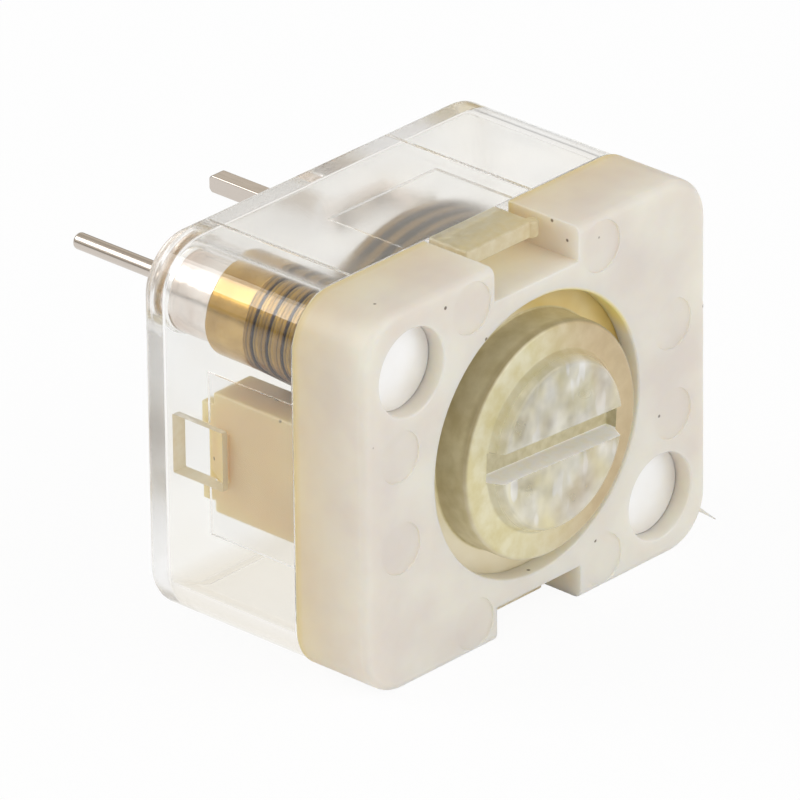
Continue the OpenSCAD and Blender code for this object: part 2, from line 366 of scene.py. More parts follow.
def fade(tree, place, start, end, way=None):
    # 0 up to start and 1 from end on, in millimetres along a way, or from the origin where no way is given
    measure = {"operation": "DOT_PRODUCT", 1: way} if way else {"operation": "LENGTH"}
    reach = addNode(tree, "ShaderNodeVectorMath", measure, {0: place}).outputs["Value"]
    return addNode(tree, "ShaderNodeMapRange", {"From Min": start * mm, "From Max": end * mm},
                   {"Value": reach})


def surface(tree, dullPatches, rough, relief, height):
    # Roughness between two values by one pattern, and another pattern raised by a height in millimetres
    dull = addNode(tree, "ShaderNodeMapRange", {**middle, "To Min": rough[0], "To Max": rough[1]},
                   {"Value": dullPatches})
    raised = addNode(tree, "ShaderNodeBump", {"Distance": height * mm, "Strength": 1.0}, {"Height": relief})
    return {"Roughness": dull, "Normal": raised}


def throughLight(tree, shader, tint):
    # Shadow and diffuse rays pass clear plastic unbent, so that what lies inside is lit
    light = addNode(tree, "ShaderNodeLightPath").outputs
    for ray in ("Is Diffuse Ray", "Is Shadow Ray"):
        passing = addNode(tree, "ShaderNodeBsdfTransparent", {"Color": srgb(tint)})
        shader = addNode(tree, "ShaderNodeMixShader", {}, {0: light[ray], 1: shader, 2: passing})
    return shader


# Tones go by depth along Y and hold painted light. The front is lighter, as the lit face. The parts further
# back, under the cover, are darker and more amber, as painted shade. The edge that meets the cover is a thin
# golden line.
# A grain's radius is a share of its cell, from full to none, and only the cells above grainShare have one
nylonLook = {"tones": ((-2.75, "EDE9E1"), (-2.27, "ECE6DA"), (-0.27, "E8DABD"), (-0.13, "E6D2A8"),
                       (-0.006, "DBC08A"), (0.01, "E8D6AE"), (1.25, "E9D2A4")),
             "cloudSize": 2.4, "cloud": ("F5F1F0", "FFFFFC"), "rough": (0.34, 0.44),
             "grainCell": 0.9, "grainRadius": (0.045, 0.075), "grainShare": 0.5, "grainDark": 0.85,
             "grain": "5A4326", "amber": "F9E29C", "paintedGlowRadius": (4.3, 4.22), "paintedGlowFrom": (3.5, 3.9),
             "skinSize": 0.05, "skinHeight": 0.0015, "lightDepth": 0.9}


def mouldedNylon(look):
    # Natural nylon, injection moulded: light goes a millimetre in, and the mould leaves a fine satin skin.
    # Thick parts behind are more amber, partly for their plastic and partly as painted shade. The front is
    # painted lighter, as the lit face
    material, tree, place = newMaterial("moulded natural nylon")
    cloud = pattern(tree, place, look["cloudSize"], 3)
    tones = look["tones"]
    front, back = tones[0][0], tones[-1][0]
    toneAndPaintedShade = addNode(tree, "ShaderNodeValToRGB", {}, {"Fac": fade(tree, place, front, back, alongY)})
    setStops(toneAndPaintedShade, tones)
    mottled = addNode(tree, "ShaderNodeMix", {"data_type": "RGBA", "blend_type": "MULTIPLY", 0: 1.0},
                      {6: toneAndPaintedShade, 7: shades(tree, cloud, *look["cloud"])})
    # Scorched grains about a tenth of a millimetre across, in some of the cells that run through the plastic
    cells = addNode(tree, "ShaderNodeTexVoronoi", {"Scale": perSize(look["grainCell"])}, {"Vector": place})
    full, none = look["grainRadius"]
    grain = addNode(tree, "ShaderNodeMapRange",
                    {"From Min": full, "From Max": none, "To Min": look["grainDark"], "To Max": 0.0},
                    {"Value": cells.outputs["Distance"]})
    chance = addNode(tree, "ShaderNodeSeparateColor", {}, {0: cells.outputs["Color"]})
    chosen = addNode(tree, "ShaderNodeMath", {"operation": "GREATER_THAN", 1: look["grainShare"]},
                     {0: chance})
    speck = addNode(tree, "ShaderNodeMath", {"operation": "MULTIPLY"}, {0: grain, 1: chosen})
    # Painted light: in the mouth's upper right, where light has come a long way through the plastic, an amber
    # glow is painted on
    flat = addNode(tree, "ShaderNodeMapping", fromAxis, {"Vector": place})
    amber = addNode(tree, "ShaderNodeMath", {"operation": "MULTIPLY"},
                    {0: fade(tree, flat, *look["paintedGlowRadius"]),
                     1: fade(tree, flat, *look["paintedGlowFrom"], paintedGlowWay)})
    colour = coats(tree, mottled.outputs[2], (speck, look["grain"]),
                   (amber, look["amber"]))
    skin = pattern(tree, place, look["skinSize"], 3)
    shader = addNode(tree, "ShaderNodeBsdfPrincipled",
                     {"IOR": 1.53, "Subsurface Weight": 0.85, "Subsurface Radius": (1.0, 0.85, 0.6),
                      "Subsurface Scale": look["lightDepth"] * mm},
                     {"Base Color": colour, **surface(tree, cloud, look["rough"], skin, look["skinHeight"])})
    closeMaterial(tree, shader)
    return material


styreneLook = {"waveSize": 3.0, "waveHeight": 0.01, "wave": ("FDFCF9", "FFFFFE"), "through": "FBFAF6",
               "backFrom": (4.9, 5.3), "yellow": "EEE8DC", "yellowBelow": (1.4, 0.6)}


def clearStyrene(name, rough, backRough, look):
    # Polystyrene, clear, injection moulded: glossy, a little uneven where the melt flowed; the back is less
    # polished, and the colour is a little yellower near the bottom
    material, tree, place = newMaterial(name)
    wave = pattern(tree, place, look["waveSize"], 1)
    finish = surface(tree, wave, rough, wave, look["waveHeight"])
    duller = addNode(tree, "ShaderNodeMath", {"operation": "MULTIPLY_ADD", 1: backRough},
                     {0: fade(tree, place, *look["backFrom"], alongY), 2: finish["Roughness"]})
    colour = coats(tree, shades(tree, wave, *look["wave"]),
                   (fade(tree, place, *look["yellowBelow"], alongZ), look["yellow"]))
    shader = addNode(tree, "ShaderNodeBsdfPrincipled", {"IOR": 1.58, "Transmission Weight": 1.0},
                     {"Base Color": colour, "Roughness": duller, "Normal": finish["Normal"]})
    closeMaterial(tree, throughLight(tree, shader, look["through"]))
    return material


frostLook = {"grainSize": 0.25, "rough": (0.3, 0.6), "relief": 0.02, "lightDepth": 0.8}


def frosted(name, colours, through, clear, held=0.0):
    # Clear plastic where its surface is rough: milky, and some of the light may be held under the skin
    look = frostLook
    material, tree, place = newMaterial(name)
    grain = pattern(tree, place, look["grainSize"], 4)
    shader = addNode(tree, "ShaderNodeBsdfPrincipled",
                     {"IOR": 1.58, "Transmission Weight": clear, "Subsurface Weight": held,
                      "Subsurface Radius": (1.0, 0.9, 0.7), "Subsurface Scale": look["lightDepth"] * mm},
                     {"Base Color": shades(tree, grain, *colours),
                      **surface(tree, grain, look["rough"], grain, look["relief"])})
    closeMaterial(tree, throughLight(tree, shader, through))
    return material


# A name that ends in From tells where that part of the knob begins, in millimetres from the axis, along X, Y
# or Z, or towards the side where the amber glow is painted. Each colour is in two shades
sulfoneLook = {"boss": ("E8E0B6", "F7F2DA"), "smear": ("DFDFDE", "F8F8F8"), "scratch": "FFFFFE",
               "ring": ("E4D9A4", "F6F0CF"), "ringFrom": (2.35, 2.6),
               "ringPaintedShade": ("D6BE92", "E2CCA2"), "paintedShadeFrom": (-0.8, 1.8),
               "flank": ("A08E5E", "B3A272"), "flankFrom": (3.41, 3.47),
               "flankLit": ("E0D3A9", "EEE6C8"), "litFrom": (1.2, -1.6),
               "flankBack": ("C9BC8F", "DDD2AC"), "backFrom": (-3.1, -2.85),
               "flange": ("EFE4C8", "F7F0DE"), "flangeFrom": (3.53, 3.58),
               "flangePaintedGlow": ("E9CC78", "F4E0A0"), "paintedGlowFrom": (2.6, 3.4),
               "waveSize": 1.5, "grainSize": 0.5, "smearSize": 0.9, "smearStretch": (1, 0.3, 0.8),
               "smearShare": 0.8, "smearHeight": 0.06, "ringRelief": 0.3, "scratchSize": 0.4,
               "scratchStretch": (1, 0.3, 0.35), "scratchRarity": (0.62, 0.7), "scratchShare": 0.8,
               "clearSize": 1.0, "bossClear": (0.2, 0.7), "ringClear": 0.35, "bossRough": 0.07,
               "ringRough": 0.3, "through": "FDFBF0"}


def amberSulfone(look):
    # Polysulfone, moulded: clear with its natural yellow cast. The boss is polished, but smeared and
    # scratched, and the ring round it is scuffed milky, with painted shade in tan to the right. The flank is
    # painted dark as shade, lighter where light comes through below and towards the back. The flange below is
    # pale, with a painted amber glow at the upper right, where light comes out of the plastic
    material, tree, place = newMaterial("clear amber polysulfone")
    flat = addNode(tree, "ShaderNodeMapping", fromAxis, {"Vector": place})
    wave, grain = pattern(tree, place, look["waveSize"], 2), pattern(tree, place, look["grainSize"], 4)
    streaks = pattern(tree, place, look["smearSize"], 1.5, look["smearStretch"])
    smeared = addNode(tree, "ShaderNodeMapRange", {**middle, "To Max": look["smearShare"]},
                      {"Value": streaks})
    none, full = look["scratchRarity"]
    scratched = addNode(tree, "ShaderNodeMapRange",
                        {"From Min": none, "From Max": full, "To Max": look["scratchShare"]},
                        {"Value": pattern(tree, place, look["scratchSize"], 1, look["scratchStretch"])})
    boss = coats(tree, shades(tree, wave, *look["boss"]),
                 (smeared, shades(tree, grain, *look["smear"])),
                 (scratched, look["scratch"]))
    # Painted shade: the ring is tan to the right, where it lies in shade
    ring = coats(tree, shades(tree, grain, *look["ring"]),
                 (fade(tree, flat, *look["paintedShadeFrom"], alongX), shades(tree, grain, *look["ringPaintedShade"])))
    # Painted shade and light: the flank is dark, as shade, with painted light below where light comes
    # through, and it is lighter towards the back
    flank = coats(tree, shades(tree, grain, *look["flank"]),
                  (fade(tree, flat, *look["litFrom"], alongZ), shades(tree, grain, *look["flankLit"])),
                  (fade(tree, place, *look["backFrom"], alongY), shades(tree, grain, *look["flankBack"])))
    # Painted light: an amber glow on the flange's upper right, where light comes out of the plastic
    flange = coats(tree, shades(tree, wave, *look["flange"]),
                   (fade(tree, flat, *look["paintedGlowFrom"], paintedGlowWay), shades(tree, wave, *look["flangePaintedGlow"])))
    onRing = fade(tree, flat, *look["ringFrom"])
    colour = coats(tree, boss, (onRing, ring), (fade(tree, flat, *look["flankFrom"]), flank),
                   (fade(tree, flat, *look["flangeFrom"]), flange))
    least, most = look["bossClear"]
    bossClear = addNode(tree, "ShaderNodeMapRange", {**middle, "To Min": least, "To Max": most},
                        {"Value": pattern(tree, place, look["clearSize"], 2, look["smearStretch"])})
    clear = addNode(tree, "ShaderNodeMapRange", {"To Max": look["ringClear"]},
                    {"Value": onRing, "To Min": bossClear})
    rough = addNode(tree, "ShaderNodeMapRange", {"To Min": look["bossRough"], "To Max": look["ringRough"]},
                    {"Value": onRing})
    depth = addNode(tree, "ShaderNodeMapRange", {"To Min": 1.0, "To Max": look["ringRelief"]},
                    {"Value": onRing})
    relief = addNode(tree, "ShaderNodeMath", {"operation": "MULTIPLY"}, {0: streaks, 1: depth})
    raised = addNode(tree, "ShaderNodeBump", {"Distance": look["smearHeight"] * mm, "Strength": 1.0},
                     {"Height": relief})
    shader = addNode(tree, "ShaderNodeBsdfPrincipled", {"IOR": 1.62},
                     {"Base Color": colour, "Transmission Weight": clear,
                      "Roughness": rough, "Normal": raised})
    closeMaterial(tree, throughLight(tree, shader, look["through"]))
    return material


# What the metals share: where tin is darker outside the cover, and for the fine dark lines, which are painted
# shade for the grooves between the stacked plates: their colour, share, half widths from full to none, and
# how far they wander
metalLook = {"toneSize": 1.2, "outside": (5.4, 6.0), "grooveShade": "3E2E10", "grooveShadeShare": 0.65,
             "grooveShadeHalf": (0.01, 0.034), "grooveShadeStart": 0.015, "wander": 0.03, "wanderSize": 0.5}


def metalSkin(name, colours, rough, lineSize, stretch, height, dull=None, metallic=1.0, grooveShades=0):
    # Metal in two shades, with its tool's or its rolls' fine lines
    look = metalLook
    material, tree, place = newMaterial(name)
    lines = pattern(tree, place, lineSize, 2, stretch)
    colour = shades(tree, pattern(tree, place, look["toneSize"], 3), *colours)
    if dull:
        colour = coats(tree, colour, (fade(tree, place, *look["outside"], alongY), dull))
    if grooveShades:  # this many fine dark lines to each plate and spacer together: painted shade for the grooves between plates
        first, second = nodeBox("stator_plate_1")[0].y, nodeBox("stator_plate_2")[0].y
        along = addNode(tree, "ShaderNodeSeparateXYZ", {}, {"Vector": place}).outputs["Y"]
        uneven = pattern(tree, place, look["wanderSize"], 2)
        wander = addNode(tree, "ShaderNodeMath", {"operation": "MULTIPLY_ADD", 1: look["wander"] * mm},
                         {0: uneven, 2: along})
        start, half = (first + look["grooveShadeStart"]) * mm, (second - first) / grooveShades / 2 * mm
        reach = addNode(tree, "ShaderNodeMath", {"operation": "SUBTRACT", 1: start}, {0: wander})
        off = addNode(tree, "ShaderNodeMath", {"operation": "PINGPONG", 1: half}, {0: reach})
        full, none = (width * mm for width in look["grooveShadeHalf"])
        share = addNode(tree, "ShaderNodeMapRange",
                        {"From Min": full, "From Max": none, "To Min": look["grooveShadeShare"], "To Max": 0.0},
                        {"Value": off})
        colour = coats(tree, colour, (share, look["grooveShade"]))
    shader = addNode(tree, "ShaderNodeBsdfPrincipled", {"Metallic": metallic},
                     {"Base Color": colour, **surface(tree, lines, rough, lines, height)})
    closeMaterial(tree, shader)
    return material


filmLook = {"hazeSize": 1.5, "haze": ("F4F4F2", "FFFFFF"), "rough": (0.02, 0.12), "through": "FAFAF8"}


def polyesterFilm(look):
    # Polyester film, drawn thin: clear with a faint haze
    material, tree, place = newMaterial("clear polyester film")
    haze = pattern(tree, place, look["hazeSize"], 3)
    least, most = look["rough"]
    dull = addNode(tree, "ShaderNodeMapRange", {**middle, "To Min": least, "To Max": most}, {"Value": haze})
    shader = addNode(tree, "ShaderNodeBsdfPrincipled", {"IOR": 1.05, "Transmission Weight": 1.0},
                     {"Base Color": shades(tree, haze, *look["haze"]), "Roughness": dull})
    closeMaterial(tree, throughLight(tree, shader, look["through"]))
    return material


nylon, sulfone, film = mouldedNylon(nylonLook), amberSulfone(sulfoneLook), polyesterFilm(filmLook)
styrene = clearStyrene("clear moulded polystyrene", (0.01, 0.03), 0.14, styreneLook)
satinStyrene = clearStyrene("satin moulded polystyrene", (0.07, 0.12), 0.0, styreneLook)
mattStyrene = clearStyrene("matt moulded polystyrene", (0.16, 0.26), 0.0, styreneLook)
roughStyrene = frosted("frosted polystyrene edge", ("E6D7B0", "F0E5C6"), "F4ECD2", 0.45)
hazedStyrene = frosted("hazed polystyrene", ("ECE0B4", "F6EED0"), "F8F2E0", 0.75)
# Painted light and shade in the slot: its lower wall, which faces up, is milky white as lit, and its floor
# and upper wall are darker
scuffedAndLitSulfone = frosted("scuffed and lit polysulfone", ("FCF9EC", "FFFFFA"), "FFFEF8", 0.05, 0.8)
smearedAndShadedSulfone = frosted("smeared and shaded polysulfone", ("C9C09C", "DDD5B8"), "FBF8EE", 0.3)
acrossY = (0.04, 1, 0.04)  # draws a pattern out into the rings that a lathe's tool leaves round the axis
# Free-cutting brass from the lathe: bright, with the tool's fine rings
turnedBrass = metalSkin("turned polished brass", ("A17C34", "C8A864"), (0.15, 0.24), 0.03, acrossY, 0.0008)
# The same from a rougher tool, darkened by the years, with fine dark lines: painted shade for the grooves
# between the stacked plates
tarnishedBrass = metalSkin("turned tarnished brass", ("88691F", "B28E3E"), (0.28, 0.4), 0.05, acrossY, 0.0012,
                           grooveShades=4)
# Sheet brass, stamped and left as rolled: satin, a little browner, with fine dark lines: painted shade for
# the grooves between the stacked plates
stampedBrass = metalSkin("stamped sheet brass", ("7C5F1C", "A17D34"), (0.32, 0.46), 0.06, (1, 1, 0.1), 0.001,
                         grooveShades=4)
# Tin over brass, dull-bright from the bath, and a little darker outside the cover
tinPlate = metalSkin("bright tin plate", ("D3C4B9", "ECE6E0"), (0.12, 0.24), 0.08, (1, 0.15, 1), 0.0006,
                     dull="CFC6BD")
# Silver on the posts' heads, matt and white as it left the bath
silverPlate = metalSkin("matt white silver plate", ("FAF9F7", "FFFFFF"), (0.3, 0.4), 0.1, acrossY, 0.0002,
                        metallic=0.45)
# Bronze strip with a thin silver coat, rolled smooth
silveredBronze = metalSkin("silvered spring bronze", ("D2C8B4", "E6DFD0"), (0.18, 0.34), 0.06, (0.2, 1, 1),
                           0.0008)
print("materials ready")

# Moulded base

baseLook = {
    # the block, its thin front wall, the round mouth and the posts' eyes with their rounded rims
    "cornerRadius": 1.5, "frontEdge": 0.25, "backEdge": 0.03, "frontWall": 0.6, "mouthRadius": 4.2,
    "wellRadius": 4.4, "eyeRadius": 1.3, "seatRadius": 1.36, "rim": 0.06, "rimSteps": 4,
    # notches that the cover's tabs lie in, and the round marks that the ejector pins left
    "notchHalf": 1.72, "notchDepth": 1.04, "notchEdge": 0.06,
    "markRadius": 0.78, "markDepth": 0.05, "markEdge": 0.03, "markPlaces": ((2.65, 4.85), (5.6, 1.4)),
    # snap blocks behind the wall, left (-1) and right (1), each with a heel behind and a hook outside
    "blockHalf": 1.85, "blockDepth": 3.35, "blockInside": {-1: 4.95, 1: 5.25}, "blockOutside": 6.5,
    "blockEdge": 0.08, "heelHalf": 1.5, "heelDepth": 0.4, "heelThickness": 0.35, "heelInset": 0.005,
    "heelRoot": 0.3, "heelEdge": 0.05, "hookHalf": 0.75, "hookOut": 0.4, "hookFront": 2.75, "hookFlat": 0.12,
    "hookLength": 0.9, "hookRoot": 0.2, "hookEdge": 0.04,
    # a whisker of flash, placed from the middle of the right front edge, and a nick there, by its half sizes
    "whiskerPlace": (-0.2, -0.15, -4.95), "whiskerLength": 0.7, "whiskerRadii": (0.07, 0.015),
    "whiskerTurn": 100, "nickZ": 1.7, "nickHalf": (0.16, 0.22, 0.185)}


def holeCutter(look, radius, inner, x=0.0, z=0.0):
    # Drills a hole whose front rim is rounded, and widens it behind the wall
    front, wallBack, rim = baseLow.y, baseLow.y + look["frontWall"], look["rim"]
    angles = [math.pi / 2 * (k + 1) / look["rimSteps"] for k in range(look["rimSteps"])]
    corners = [(0, front - spare, 0), (radius + rim, front - spare, 0), (radius + rim, front - hair, 0)]
    corners += [(radius + rim * (1 - math.sin(a)), front + rim * (1 - math.cos(a)), 0) for a in angles]
    corners += [(radius, wallBack, 0), (inner, wallBack, 0), (inner, spare, 0), (0, spare, 0)]
    return turned("cutter", corners, x, z)


def snapBlock(look, side):
    inside, outside = look["blockInside"][side], look["blockOutside"]
    half, depth = look["blockHalf"], look["blockDepth"]
    block = boxBlock("block", sorted((side * inside, side * outside)), (-spare, depth), (-half, half))
    block = bevelled(block, look["blockEdge"])
    x = sorted((side * (outside - look["heelThickness"]), side * (outside - look["heelInset"])))
    half = look["heelHalf"]
    heel = boxBlock("heel", x, (depth - look["heelRoot"], depth + look["heelDepth"]), (-half, half))
    outline = [(-look["hookRoot"], 0), (look["hookOut"], 0), (look["hookOut"], look["hookFlat"]),
               (0, look["hookLength"]), (-look["hookRoot"], look["hookLength"])]
    bm = bmesh.new()
    ends = [[bm.verts.new((side * (outside + u), look["hookFront"] + v, midZ + z)) for u, v in outline]
            for z in (-look["hookHalf"], look["hookHalf"])]
    bm.faces.new(ends[0])
    bm.faces.new(ends[1])
    for i in range(len(outline)):
        j = (i + 1) % len(outline)
        bm.faces.new((ends[0][i], ends[0][j], ends[1][j], ends[1][i]))
    hook = bevelled(fromBmesh("hook", bm), look["hookEdge"])
    return combined(block, [bevelled(heel, look["heelEdge"]), hook], "UNION")


def whiskerOfFlash(look):
    thick, thin = look["whiskerRadii"]
    bm = bmesh.new()
    bmesh.ops.create_cone(bm, segments=5, radius1=thick, radius2=thin, depth=look["whiskerLength"],
                          cap_ends=True)
    place = Matrix.Translation(Vector((caseWidth / 2, baseLow.y, midZ)) + Vector(look["whiskerPlace"]))
    lean = Matrix.Rotation(math.radians(look["whiskerTurn"]), 4, "X")
    bmesh.ops.transform(bm, verts=bm.verts, matrix=place @ lean)
    return fromBmesh("whisker", bm)


def nickInEdge(look):
    bm = bmesh.new()
    bmesh.ops.create_icosphere(bm, subdivisions=2, radius=1.0)
    place = Matrix.Translation((caseWidth / 2, baseLow.y, midZ + look["nickZ"]))
    bmesh.ops.transform(bm, verts=bm.verts, matrix=place @ Matrix.Diagonal((*look["nickHalf"], 1)))
    return fromBmesh("nick", bm)


def mouldedBase(look):
    front, n, depth = baseLow.y, look["notchHalf"], look["notchDepth"]
    body = roundedBlock("mouldedBase", caseWidth, caseHeight, look["cornerRadius"], front, 0,
                        look["frontEdge"], look["backEdge"])
    notches = [boxBlock("notch", (-n, n), (front - 2 * spare, 2 * spare), z)
               for z in ((midZ - depth, midZ + 2 * spare), (-midZ - 2 * spare, depth - midZ))]
    body = bevelled(combined(body, notches), look["notchEdge"])
    for side in (-1, 1):
        body = combined(body, [snapBlock(look, side)], "UNION")
    body = combined(body, [whiskerOfFlash(look)], "UNION")
    body = combined(body, [nickInEdge(look)])
    cutters = [holeCutter(look, look["mouthRadius"], look["wellRadius"])]
    cutters += [holeCutter(look, look["eyeRadius"], look["seatRadius"], x, z) for x, z in postPlaces]
    r, deep = look["markRadius"], front + look["markDepth"]
    mark = [(0, front - spare, 0), (r, front - spare, 0), (r, deep, look["markEdge"]), (0, deep, 0)]
    for x, z in look["markPlaces"]:
        cutters += [turned("mark", mark, sx * x, sz * z, segments=48) for sx in (-1, 1) for sz in (-1, 1)]
    return combined(body, cutters)


finishPiece(mouldedBase(baseLook), "case", ["base"], nylon)
print("base ready")

# Clear cover

coverLook = {
    "cornerRadius": 1.6, "wall": 0.5, "frontEdge": 0.04, "backEdge": 0.3, "insideEdge": 0.2,
    # a window in each side for the snap block's hook, and shallow pockets inside the walls
    "windowHalf": 0.9, "window": (2.7, 4.6), "windowEdge": 0.04,
    "pocketSide": 2.5, "pocketSideBack": 3.4, "pocketTop": 2.2, "pocketTopBack": 3.15, "pocketDepth": 0.08,
    # tabs over the base's notches, a little inside the wall's faces, each with the stub of a gate
    "tabX": (-1.5, 1.25), "tabLength": 1.4, "tabRoot": 0.3, "tabInset": 0.002, "tabEdge": 0.07,
    "gateRadius": 0.2, "gateEdge": 0.06,
    # holes for the terminals, cut through the back between two depths
    "holeRadius": 1.18, "holeFlare": 0.06, "holeFlareDepth": 0.05, "squareHole": 0.59, "squareZ": 4.0,
    "throughBack": (4, 7),
    # witness lines along the top, and a nub under it
    "lineX": (-4.7, 2.65), "lineWidth": 0.07, "lineSlope": 0.02, "lineEdge": 0.04, "lineOut": 0.2,
    "nubX": 2.2, "nubFront": 0.02, "nubHalf": 0.09}


def coverTab(look, side):
    # The tab, and the stub that the gate left on its front
    x = sorted(side * v for v in look["tabX"])
    low, high = sorted((side * midZ, side * (midZ - look["wall"])))
    low, high = low + look["tabInset"], high - look["tabInset"]
    tab = bevelled(boxBlock("tab", x, (-look["tabLength"], look["tabRoot"]), (low, high)), look["tabEdge"])
    r, edge, thickness = look["gateRadius"], look["gateEdge"], high - low
    gate = turned("gate", [(0, 0, 0), (r, 0, edge), (r, thickness, edge), (0, thickness, 0)], segments=32)
    place = Matrix.Translation((side * look["tabX"][1], -look["tabLength"] + r / 2, midZ + low))
    return [tab, moved(gate, toOrigin, Matrix.Rotation(math.pi / 2, 4, "X"), place)]


def backHoles(look):
    front, back = look["throughBack"]
    r, wide, s = look["holeRadius"], look["holeRadius"] + look["holeFlare"], look["squareHole"] / 2
    outline = [(0, front, 0), (r, front, 0), (r, coverBack - look["holeFlareDepth"], 0),
               (wide, coverBack + hair, 0), (wide, back, 0), (0, back, 0)]
    holes = [turned("hole", outline, x, z, segments=40) for x, z in postPlaces]
    return holes + [boxBlock("hole", (-s, s), (front, back), (look["squareZ"] - s, look["squareZ"] + s))]


def witnessLine(look, x):
    left, right = x - look["lineSlope"], x + look["lineWidth"] + look["lineSlope"]
    over, under, edge = midZ + look["lineOut"], midZ - look["lineWidth"], look["lineEdge"]
    corners = [(left, over, 0), (left, under, edge), (right, under, edge), (right, over, 0)]
    outline = roundedOutline(corners, steps=3)
    return loft("line", [(outline, -hair), (outline, look["throughBack"][1])])


def clearCover(look):
    wall, deep = look["wall"], look["pocketDepth"]
    innerX, innerZ = caseWidth / 2 - wall, caseHeight / 2 - wall
    body = roundedBlock("clearCover", caseWidth, caseHeight, look["cornerRadius"], 0, coverBack,
                        look["frontEdge"], look["backEdge"])
    body = combined(body, coverTab(look, -1) + coverTab(look, 1), "UNION")
    inside = roundedBlock("inside", 2 * innerX, 2 * innerZ, look["cornerRadius"] - wall,
                          -spare, coverBack - wall, 0, look["insideEdge"])
    cutters = [inside]
    for side in (-1, 1):
        x, half = side * (caseWidth / 2 - wall / 2), look["windowHalf"]
        window = boxBlock("window", (x - wall, x + wall), look["window"], (-half, half))
        cutters.append(bevelled(window, look["windowEdge"]))
        x, half, back = side * innerX, look["pocketSide"], look["pocketSideBack"]
        cutters.append(boxBlock("pocket", (x - deep, x + deep), (-hair, back), (-half, half)))
        z, half, back = side * innerZ, look["pocketTop"], look["pocketTopBack"]
        cutters.append(boxBlock("pocket", (-half, half), (-hair, back), (z - deep, z + deep)))
    cutters += backHoles(look) + [witnessLine(look, x) for x in look["lineX"]]
    body = combined(body, cutters)
    n, ceiling = look["nubHalf"], innerZ + deep
    nub = boxBlock("nub", (look["nubX"] - n, look["nubX"] + n), (look["nubFront"], look["nubFront"] + 2 * n),
                   (ceiling - 1.5 * n, ceiling + n / 2))
    return combined(body, [nub], "UNION")


def coverSkin(centre, normal, slack=0.02, reach=0.1, facing=0.9):
    # 1 where the window's walls and the tabs' edges came off the mould and the gate rough,
    # 2 on the pockets' floors and the two witness lines, where the mould was left matt,
    # 3 on the satin ceiling and on the wall across from it, 4 on the tabs' flats, hazed by handling,
    # and 0 elsewhere. A face whose normal lies along an axis by the share given by facing faces that way
    look = coverLook
    x, y, z = abs(centre.x), centre.y, abs(centre.z - midZ)
    intoSide, intoTop = x - (caseWidth / 2 - look["wall"]), z - (caseHeight / 2 - look["wall"])
    facesSide, facesTop = abs(normal.x) > facing, abs(normal.z) > facing
    front, back = look["window"]
    inWindow = intoSide > -reach and z < look["windowHalf"] + slack and front - slack < y < back + slack
    onTab = y < -look["frontEdge"] - slack
    if (inWindow and not facesSide) or (onTab and not facesTop):
        return 1
    if onTab:
        return 4
    least, most = 0.03, 0.2  # between these depths into a wall, only the pockets have faces along it
    inPocket = least < intoSide < most and facesSide
    onCeiling = -least < intoTop < most and facesTop
    if onCeiling and (x > look["pocketTop"] or y > look["pocketTopBack"]):
        return 3
    byLine = any(-reach < centre.x - at < look["lineWidth"] + reach for at in look["lineX"])
    inGroove = most < intoTop < look["wall"] - hair / 2 and slack < y < coverBack - look["backEdge"] - reach
    return 2 if inPocket or onCeiling or (byLine and inGroove) else 0


finishPiece(clearCover(coverLook), "case", ["dust_cover"], styrene,
            skin=coverSkin, others=(roughStyrene, mattStyrene, satinStyrene, hazedStyrene))
print("cover ready")

# Clear knob

knobLook = {
    # radii and the rounding of edges, from the boss in front to the hub behind; a root is an inner corner
    "bossFront": 2.45, "bossBack": 2.68, "bossEdge": 0.1, "shoulderOut": 0.5, "shoulderRoot": 0.06,
    "shoulderRadius": 3.5, "shoulderEdge": 0.16, "flangeRoot": 0.05, "flangeRadius": 4.32,
    "flangeFront": -1.99, "flangeThickness": 0.75, "flangeEdge": 0.08, "hubRadius": 1.6, "hubRoot": 0.1,
    "hubEdge": 0.05,
    # the screwdriver slot, turned a little, and the bore with two flats for the shaft
    "slotWidth": 0.9, "slotDepth": 0.8, "slotEdge": 0.05, "slotAngle": 3,
    "boreRadius": 0.82, "boreFlat": 0.62, "boreFront": -2.15, "boreBack": 1}


def clearKnob(look):
    front, shoulder, flange = knobLow.y, baseLow.y - look["shoulderOut"], look["flangeFront"]
    flangeBack, back = flange + look["flangeThickness"], knobHigh.y
    body = turned("clearKnob", [
        (0, front, 0),
        (look["bossFront"], front, look["bossEdge"]),
        (look["bossBack"], shoulder, look["shoulderRoot"]),
        (look["shoulderRadius"], shoulder, look["shoulderEdge"]),
        (look["shoulderRadius"], flange, look["flangeRoot"]),
        (look["flangeRadius"], flange, look["flangeEdge"]),
        (look["flangeRadius"], flangeBack, look["flangeEdge"]),
        (look["hubRadius"], flangeBack, look["hubRoot"]),
        (look["hubRadius"], back, look["hubEdge"]),
        (0, back, 0)], segments=160, steps=5)
    w, length = look["slotWidth"] / 2, look["bossBack"]
    slot = boxBlock("slot", (-length, length), (front - 2 * spare, front + look["slotDepth"]), (-w, w))
    slot = moved(bevelled(slot, look["slotEdge"]), toOrigin,
                 Matrix.Rotation(math.radians(look["slotAngle"]), 4, "Y"), toAxis)
    r, f, boreFront, boreBack = look["boreRadius"], look["boreFlat"], look["boreFront"], look["boreBack"]
    outline = [(0, boreFront, 0), (r, boreFront, 0), (r, boreBack, 0), (0, boreBack, 0)]
    wide = 4 * spare
    flats = boxBlock("flats", (-wide, wide), (-2 * wide, wide), (-f, f))
    bore = combined(turned("bore", outline, segments=48), [flats], "INTERSECT")
    return combined(body, [slot, bore])


